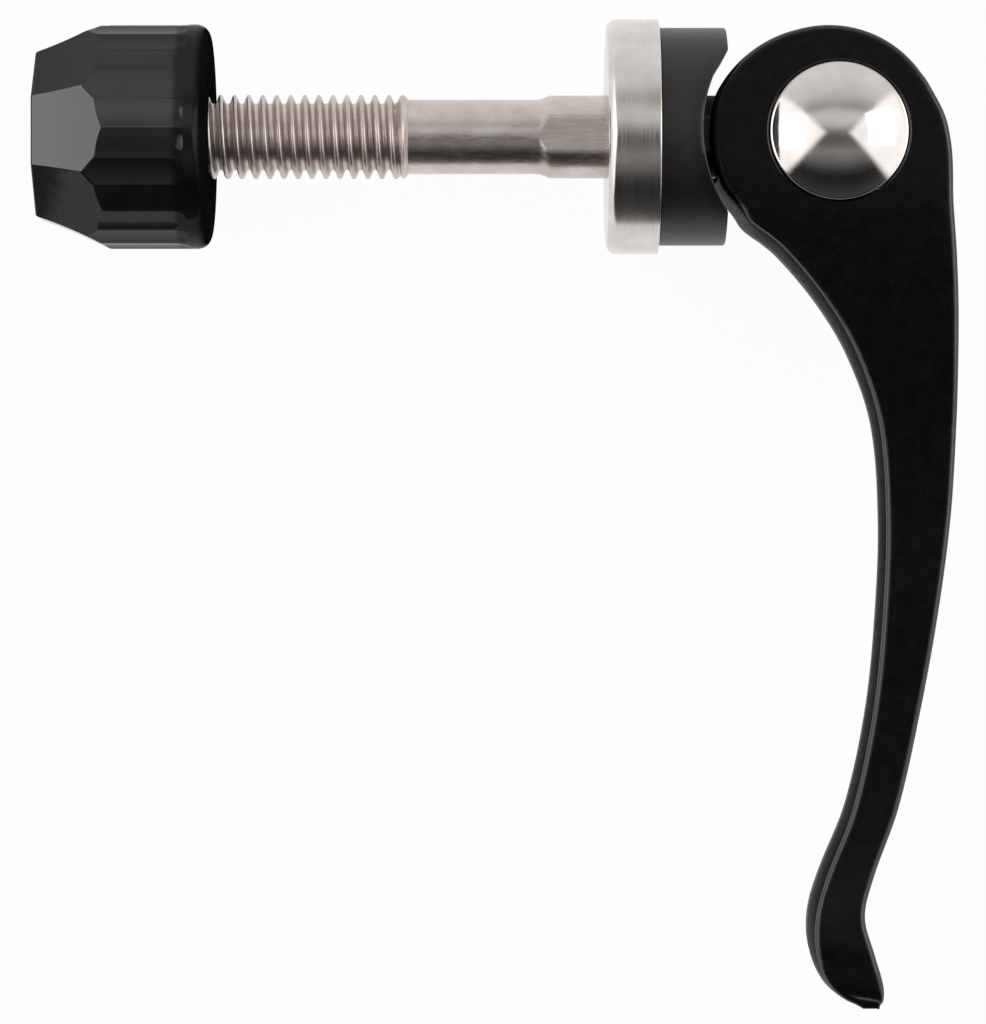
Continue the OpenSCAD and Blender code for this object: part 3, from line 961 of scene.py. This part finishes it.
# Each row of the arm: how far below the pin's axis, then left edge, right edge and width along Z
ARM_ROWS = np.array([
    [-0.50 * HEAD_R, -0.50 * HEAD_R, 0.735 * HEAD_R, HEAD_W],
    [-0.25 * HEAD_R, -0.60 * HEAD_R, 0.893 * HEAD_R, HEAD_W],
    [-0.10 * HEAD_R, -0.65 * HEAD_R, 0.957 * HEAD_R, HEAD_W],
    [0.08 * HEAD_R, -0.71 * HEAD_R, 0.994 * HEAD_R, HEAD_W],
    [0.40 * HEAD_R, -0.80 * HEAD_R, 1.03 * HEAD_R, HEAD_W],
    [0.68 * HEAD_R, -0.85 * HEAD_R, 1.048 * HEAD_R, HEAD_W - 0.1],
    [0.84 * HEAD_R, -0.765 * HEAD_R, 1.06 * HEAD_R, HEAD_W - 0.2],
    [0.135 * ARM_LEN, -4.00, 8.50, HEAD_W - 0.4],
    [0.190 * ARM_LEN, -1.15, 8.65, HEAD_W - 0.9],
    [0.250 * ARM_LEN, 1.05, 8.68, (HEAD_W + ARM_W) / 2],
    [0.330 * ARM_LEN, 2.72, 8.60, ARM_W + 0.5],
    [0.440 * ARM_LEN, 3.25, 8.20, ARM_W],
    [0.550 * ARM_LEN, 3.02, 7.30, ARM_W],
    [0.660 * ARM_LEN, 2.33, 6.06, ARM_W],
    [0.770 * ARM_LEN, 0.88, 4.50, ARM_W + 0.4],
    [0.850 * ARM_LEN, -1.05, 2.70, (ARM_W + TIP_W) / 2],
    [0.893 * ARM_LEN, -1.78, 2.08, TIP_W - 0.4],
    [0.935 * ARM_LEN, -1.75, 2.76, TIP_W],
    [0.970 * ARM_LEN, -0.85, 3.38, TIP_W - 0.5],
    [0.990 * ARM_LEN, 0.45, 3.40, TIP_W - 1.4],
    [ARM_LEN, 1.80, 3.00, TIP_W - 2.4],
])


def smooth_rows(rows, d):
    """A smooth curve through rows, whose first number is the distance: a cubic between each two
    rows whose slope at a row is that of the line from the row before to the row after."""
    at = rows[:, 0]
    last = len(rows) - 1
    before = rows[np.maximum(np.arange(last + 1) - 1, 0)]
    after = rows[np.minimum(np.arange(last + 1) + 1, last)]
    slope = (after - before) / (after[:, :1] - before[:, :1])
    i = np.clip(np.searchsorted(at, d, side="right") - 1, 0, last - 1)
    h = (at[i + 1] - at[i])[:, None]
    t = np.clip((d[:, None] - at[i][:, None]) / h, 0, 1)
    start = (2 * t ** 3 - 3 * t ** 2 + 1) * rows[i] + (t ** 3 - 2 * t ** 2 + t) * h * slope[i]
    end = (3 * t ** 2 - 2 * t ** 3) * rows[i + 1] + (t ** 3 - t ** 2) * h * slope[i + 1]
    return start + end


def drum_edges(x, y, radius, heights):
    """Left and right edge of a circle at some heights. Where a height misses the circle, the two
    edges cross over, so that a union or an intersection with it still comes out right."""
    reach = np.sqrt(np.maximum(radius ** 2 - (heights - y) ** 2, 0))
    missed = np.abs(heights - y) >= radius
    return np.where(missed, 99.0, x - reach), np.where(missed, -99.0, x + reach)


def cam_left_edge(heights):
    """Left edge of the cam: that of what a drum round the pin and the two ramps' drums share."""
    hold = drum_edges(0, 0, CAM_R, heights)[0]
    ramp_on = drum_edges(RAMP_X, RAMP_ON_Y, RAMP_R, heights)[0]
    ramp_off = drum_edges(RAMP_X, RAMP_OFF_Y, RAMP_R, heights)[0]
    return np.maximum(np.maximum(hold, ramp_on), ramp_off)


def lever_edges():
    """Left edge, right edge and half width at heights from the top of the head to the tip. Heights
    are close together where the head's circle and the tip turn across the view."""
    lean = np.radians(np.arange(1.5, 100, 2.25))
    head = HEAD_Y + HEAD_R * np.cos(lean)
    arm = np.arange(head[-1] - ROW_STEP, -0.94 * ARM_LEN, -ROW_STEP)
    tip = -ARM_LEN + (arm[-1] + ARM_LEN) * (1 - np.sin(np.linspace(0, math.pi / 2, 22)[1:]))
    y = np.concatenate([head, arm, tip])
    rows = smooth_rows(ARM_ROWS, -y)
    inside_rows = -y >= ARM_ROWS[0, 0]
    head_left, head_right = drum_edges(HEAD_X, HEAD_Y, HEAD_R, y)
    cam_left = cam_left_edge(y)
    head_left = soft_min(head_left, cam_left, CAM_EDGE)
    left = np.where(inside_rows, soft_min(head_left, rows[:, 1], ARM_BLEND), head_left)
    right = np.where(inside_rows, -soft_min(-head_right, -rows[:, 2], ARM_BLEND), head_right)
    half = np.where(inside_rows, rows[:, 3], HEAD_W) / 2
    return y, left, right, half


edge_y, edge_left, edge_right, edge_half = lever_edges()
print("lever outline has", len(edge_y), "rows, from", round(edge_y[0], 2), "to", round(edge_y[-1], 2))

# %% [markdown]
# ## The lever's surface
# A solid outline pushed up from a sheet has one thickness and sharp corners. A casting has a
# draft, so that it leaves its mould, and a bevel where the two halves meet its faces. Both are
# offsets along the outline's normals, so the rim is the outline drawn again and again, a little
# further in and a little lower each time. The faces then fill the first and the last of those.

# %% The lever's surface
DRAFT = 0.2
INNER_DRAFT_FROM = 6.0
INNER_DRAFT_FADE = 1.5
OUTER_DRAFT_FROM = 1.0
OUTER_DRAFT_FADE = 4.0
BEVEL = 0.45
BEVEL_STEPS = 7
FACE_COLUMNS = 40


def outline_normals(loop):
    """Outward normals of a closed clockwise outline, from the points on both sides of each."""
    along = np.roll(loop, -1, axis=0) - np.roll(loop, 1, axis=0)
    normal = np.stack([-along[:, 1], along[:, 0]], axis=-1)
    return normal / np.linalg.norm(normal, axis=1)[:, None]


def rim_profile():
    """The edge's section on one side of the middle, as rows of (share of draft, share of bevel
    inwards, share of bevel down from the face): a quarter of a circle over the leaning side."""
    bend = np.linspace(0, math.pi / 2, BEVEL_STEPS)
    return np.stack([np.ones(BEVEL_STEPS), 1 - np.cos(bend), 1 - np.sin(bend)], axis=-1)


def outline_loop():
    """The outline as a closed clockwise loop (x, y, half width, width): up the left edge, across
    the top, down the right edge and back across the tip. The two short stretches have as many
    points as a face has columns, so that faces and rim share every point."""
    left = np.stack([edge_left, edge_y, edge_half, edge_right - edge_left], axis=-1)
    right = np.stack([edge_right, edge_y, edge_half, edge_right - edge_left], axis=-1)
    t = np.linspace(0, 1, FACE_COLUMNS)[1:-1, None]
    top = left[0] * (1 - t) + right[0] * t
    tip = right[-1] * (1 - t) + left[-1] * t
    return np.concatenate([left[::-1], top, right, tip])


def lever_points():
    """Points of the rim as a grid: one row for each step over the edge from the upper face round
    to the lower face, one column for each point of the outline. The cam has upright sides, and the
    draft of the arm comes in below it."""
    outline = outline_loop()
    loop, half, wide = outline[:, :2], outline[:, 2], outline[:, 3]
    near_tip = loop[:, 1] < -0.9 * ARM_LEN
    fit = np.where(near_tip, np.minimum(1, wide / (3 * (DRAFT + BEVEL))), 1.0)
    inner_side = loop[:, 0] < 0.5 * (ARM_ROWS[4, 1] + ARM_ROWS[4, 2])
    below_cam = smooth_step((-loop[:, 1] - INNER_DRAFT_FROM) / INNER_DRAFT_FADE)
    below_head = smooth_step((-loop[:, 1] - OUTER_DRAFT_FROM) / OUTER_DRAFT_FADE)
    lean = DRAFT * np.where(inner_side, below_cam, below_head)
    normal = outline_normals(loop)
    rows = []
    profile = rim_profile()
    steps = [(d, i, s, 1) for d, i, s in profile[::-1]] + [(0.5, 0, None, 1), (0, 0, None, 0)]
    steps += [(0.5, 0, None, -1)] + [(d, i, s, -1) for d, i, s in profile]
    for draft, inwards, down, side in steps:
        inset = (lean * draft + BEVEL * inwards) * fit
        if down is None:
            z = 0.5 * side * (half - BEVEL * fit)
        else:
            z = side * (half - BEVEL * fit * down)
        flat = loop - normal * inset[:, None]
        rows.append(np.stack([flat[:, 0] + PIN_X, flat[:, 1], z], axis=-1))
    return np.array(rows)


def face_numbers(rim_row, rows_down, start):
    """Point numbers of one face as a grid from the top to the tip: its border is taken from the
    rim's loop, and its inner points are numbered from start."""
    inner = FACE_COLUMNS - 2
    grid = np.zeros((rows_down, FACE_COLUMNS), dtype=int)
    grid[:, 0] = rim_row + np.arange(rows_down)[::-1]
    grid[0, 1:-1] = rim_row + rows_down + np.arange(inner)
    grid[:, -1] = rim_row + rows_down + inner + np.arange(rows_down)
    grid[-1, 1:-1] = rim_row + 2 * rows_down + inner + np.arange(inner)[::-1]
    grid[1:-1, 1:-1] = start + np.arange((rows_down - 2) * inner).reshape(rows_down - 2, inner)
    return grid


def lever_mesh():
    """Rim and both faces joined into one closed mesh. A face's inner points lie on straight lines
    between the left edge and the right edge at the same height."""
    rim = lever_points()
    rows, around = rim.shape[:2]
    rows_down = len(edge_y)
    t = np.linspace(0, 1, FACE_COLUMNS)[1:-1][None, :, None]
    points = [rim.reshape(-1, 3)]
    faces = [quads(rows, around, False)]
    start = rows * around
    for top in (True, False):
        edge_row = 0 if top else rows - 1
        grid = face_numbers(edge_row * around, rows_down, start)
        border = rim.reshape(-1, 3)
        left, right = border[grid[1:-1, 0]], border[grid[1:-1, -1]]
        inner = left[:, None, :] * (1 - t) + right[:, None, :] * t
        a, b, c, d = grid[:-1, :-1], grid[:-1, 1:], grid[1:, 1:], grid[1:, :-1]
        order = (a, d, c, b) if top else (a, b, c, d)
        faces.append(np.stack(order, axis=-1).reshape(-1, 4))
        points.append(inner.reshape(-1, 3))
        start += inner.shape[0] * inner.shape[1]
    return np.concatenate(points), np.concatenate(faces)


# %% [markdown]
# ## The slot and the eye
# On the real lever both are machined after casting, so their edges are crisp, and exact booleans
# suit them. The slot lets the bolt's neck swing through. The eye is a bar with flared ends, so
# that one cut makes the hole and its bevel.

# %% Cut the slot and the eye
EYE_R = PIN_R + 0.05
EYE_FLARE = 0.15
SLOT_HALF = 2.85
SLOT_FLOOR = -3.25
SLOT_REACH = 20.0


def box_cutter(name, low, high):
    """A plain box, only used to cut with."""
    sides = zip(low, high)
    corners = np.stack(np.meshgrid(*sides, indexing="ij"), axis=-1).reshape(-1, 3)
    faces = [(0, 1, 3, 2), (4, 6, 7, 5), (0, 4, 5, 1), (2, 3, 7, 6), (0, 2, 6, 4), (1, 5, 7, 3)]
    return mesh_object(name, corners, faces)


def eye_cutter():
    """A bar through the pin's eye, flared at both faces so that the eye gets a bevel."""
    flare_end = HEAD_HALF - EYE_FLARE
    z = np.array([-CUTTER_REACH, -HEAD_HALF, -flare_end, flare_end, HEAD_HALF, CUTTER_REACH])
    r = np.array([EYE_R + EYE_FLARE] * 2 + [EYE_R] * 2 + [EYE_R + EYE_FLARE] * 2)
    angles = circle_angles(160)
    ones = np.ones(len(angles))
    x = PIN_X + r[:, None] * np.cos(angles)
    y = r[:, None] * np.sin(angles)
    points = np.stack([x, y, z[:, None] * ones], axis=-1)
    return poled_grid("eye_cutter", points, (PIN_X, 0, -CUTTER_REACH), (PIN_X, 0, CUTTER_REACH))


def make_lever():
    """The casting, slotted and drilled."""
    points, faces = lever_mesh()
    lever = mesh_object("lever_casting", points, faces)
    low = (PIN_X - SLOT_REACH, SLOT_FLOOR, -SLOT_HALF)
    high = (PIN_X + SLOT_REACH, SLOT_REACH, SLOT_HALF)
    slot = box_cutter("slot_cutter", low, high)
    cut(lever, [slot, eye_cutter()])
    smooth_shade(lever.data, 32.0)
    return lever


lever = make_lever()
dress(lever, PAINT, "lever", "lever_paint", "lever")

# %% [markdown]
# ## The floor
# The object lies on a plain white sheet that touches its lowest point. A sheet under soft light is
# never quite white in a picture, and more light would bleach the object with it. So the material
# asks who is looking: rays from the camera, mirrors and glass see it glow nearly white, and the
# rest is white paper, which keeps the object's shadow.

# %% Make the floor
FLOOR_GLOW = 0.96
FLOOR_FRONT = 90.0
FLOOR_SIZE = 1500.0


def make_floor():
    """A wide flat sheet under the part, which ends a little in front of it, so that the steel
    mirrors the dark front of the tent beyond its edge."""
    z = cad_box[0][2] / MM
    corners = np.array([
        (-FLOOR_SIZE, -FLOOR_FRONT, z), (FLOOR_SIZE, -FLOOR_FRONT, z),
        (FLOOR_SIZE, FLOOR_SIZE, z), (-FLOOR_SIZE, FLOOR_SIZE, z),
    ])
    floor = mesh_object("floor", corners, [(0, 1, 2, 3)])
    material, tree, output = new_material("white_floor")
    path = add(tree, "ShaderNodeLightPath").outputs
    seen = path["Is Camera Ray"]
    for kind in ("Is Glossy Ray", "Is Transmission Ray"):
        seen = add(tree, "ShaderNodeMath", {0: seen, 1: path[kind]}, operation="MAXIMUM").outputs[0]
    share = add(tree, "ShaderNodeMath", {0: seen, 1: FLOOR_GLOW}, operation="MULTIPLY").outputs[0]
    paper = add(tree, "ShaderNodeBsdfDiffuse", {"Color": linear("#f6f6f6")})
    glow = add(tree, "ShaderNodeEmission", {"Color": grey(1), "Strength": 1.0})
    mix = add(tree, "ShaderNodeMixShader", {0: share, 1: paper.outputs[0], 2: glow.outputs[0]})
    tree.links.new(mix.outputs[0], output.inputs["Surface"])
    floor.data.materials.append(material)
    return floor


floor = make_floor()
print("floor", FLOOR_SIZE * 2, "mm wide, at z =", round(floor.data.vertices[0].co.z / MM, 2), "mm")

# %% [markdown]
# ## The light tent
# Polished metal shows its surroundings more than its own colour, so what stands round the object
# decides how it looks. A studio picture would do, but a few numbers are enough: the photograph's
# steel shows a roof whose brightness changes from back to front, dark straight above and in
# front, and two white walls at the sides. The shank, the washer and the dome are curved mirrors,
# and each angle of the roof was set from the tone that they show. The camera itself sees white.

# %% Make the light tent
TENT = [
    (-180, 0.62), (-113, 0.57), (-104, 0.43), (-95, 0.17), (-84, 0.07), (-70, 0.04), (-54, 0.02),
    (-46, 0.05), (-38, 0.13), (-30, 0.21), (-22, 0.27), (-14, 0.16), (-6, 0.12), (0, 0.21), (5, 0.44),
    (9, 0.66), (14, 0.76), (20, 0.76), (26, 0.62), (31, 0.42), (36, 0.50), (43, 0.66), (51, 0.81),
    (80, 0.92), (105, 0.88), (130, 0.76), (180, 0.80),
]
SIDE_LEVEL = 1.45
SIDE_EDGE = (0.16, 0.34)
SEAM_SLANT = 0.9
SEEN_LEVEL = 0.99


def roof_colour(tree, parts):
    """Brightness of the tent's roof by its angle from straight up, towards +Y or -Y."""
    angle = add(tree, "ShaderNodeMath", {0: parts["Y"], 1: parts["Z"]}, operation="ARCTAN2").outputs[0]
    turn_share = add(tree, "ShaderNodeMapRange", {
        "Value": angle, "From Min": -math.pi, "From Max": math.pi}).outputs["Result"]
    stops = [((angle + 180) / 360, grey(level)) for angle, level in TENT]
    return add(tree, "ShaderNodeValToRGB", {"Fac": turn_share}, stops).outputs["Color"]


def wall_share(tree, parts):
    """1 on the side walls and 0 on the roof: how far a direction points along X, less a part of
    how far it points along Y, so that the seams slant."""
    across = add(tree, "ShaderNodeMath", {0: parts["X"]}, operation="ABSOLUTE").outputs[0]
    along = add(tree, "ShaderNodeMath", {0: parts["Y"]}, operation="ABSOLUTE").outputs[0]
    slant = add(tree, "ShaderNodeMath", {0: along, 1: SEAM_SLANT}, operation="MULTIPLY").outputs[0]
    lead = add(tree, "ShaderNodeMath", {0: across, 1: slant}, operation="SUBTRACT").outputs[0]
    return add(tree, "ShaderNodeMapRange", {
        "Value": lead, "From Min": SIDE_EDGE[0], "From Max": SIDE_EDGE[1]},
        interpolation_type="SMOOTHSTEP").outputs["Result"]


def make_world():
    """The roof and the two side walls, with white for the camera's own rays."""
    world = bpy.data.worlds.new("light_tent")
    bpy.context.scene.world = world
    world.use_nodes = True
    tree = world.node_tree
    tree.nodes.clear()
    output = add(tree, "ShaderNodeOutputWorld")
    direction = add(tree, "ShaderNodeTexCoord").outputs["Generated"]
    parts = add(tree, "ShaderNodeSeparateXYZ", {"Vector": direction}).outputs
    seen = add(tree, "ShaderNodeLightPath").outputs["Is Camera Ray"]
    tent = add(tree, "ShaderNodeMix", {
        "Factor": wall_share(tree, parts), "A": roof_colour(tree, parts), "B": grey(SIDE_LEVEL)},
        data_type="RGBA").outputs["Result"]
    colour = add(tree, "ShaderNodeMix", {
        "Factor": seen, "A": tent, "B": grey(SEEN_LEVEL)}, data_type="RGBA").outputs["Result"]
    sky = add(tree, "ShaderNodeBackground", {"Color": colour, "Strength": 1.0})
    tree.links.new(sky.outputs[0], output.inputs["Surface"])
    return world


world = make_world()
print("world:", world.name, "with", len(TENT), "angles")

# %% [markdown]
# ## The lamps
# The tent alone gives an even light without a direction. Two large soft lamps at the left and the
# right, weak beside it, put a little shape on the flanks. Both aim at the middle of the object.

# %% Make the lamps
LAMP_SIZE = 320.0
LAMP_WATTS = 0.45
LAMP_AIM = (0, -20, 0)
LAMP_PLACES = {"lamp_left": (-420, 30, 300), "lamp_right": (420, 60, 300)}


def make_lamp(name, place):
    """A soft square lamp at a place in millimetres, turned to face the aim: tilted from straight
    down by the height of the way, then turned about Z towards it."""
    data = bpy.data.lights.new(name, "AREA")
    data.shape = "SQUARE"
    data.size = LAMP_SIZE * MM
    data.energy = LAMP_WATTS
    lamp = bpy.data.objects.new(name, data)
    lamp.location = [v * MM for v in place]
    towards = np.array(LAMP_AIM, dtype=float) - np.array(place, dtype=float)
    x, y, z = towards / np.linalg.norm(towards)
    lamp.rotation_euler = (math.acos(-z), 0, math.atan2(-x, y))
    bpy.context.collection.objects.link(lamp)


for name, place in LAMP_PLACES.items():
    make_lamp(name, place)
bpy.context.scene.view_settings.view_transform = "Standard"
print("lamps made:", len(LAMP_PLACES))
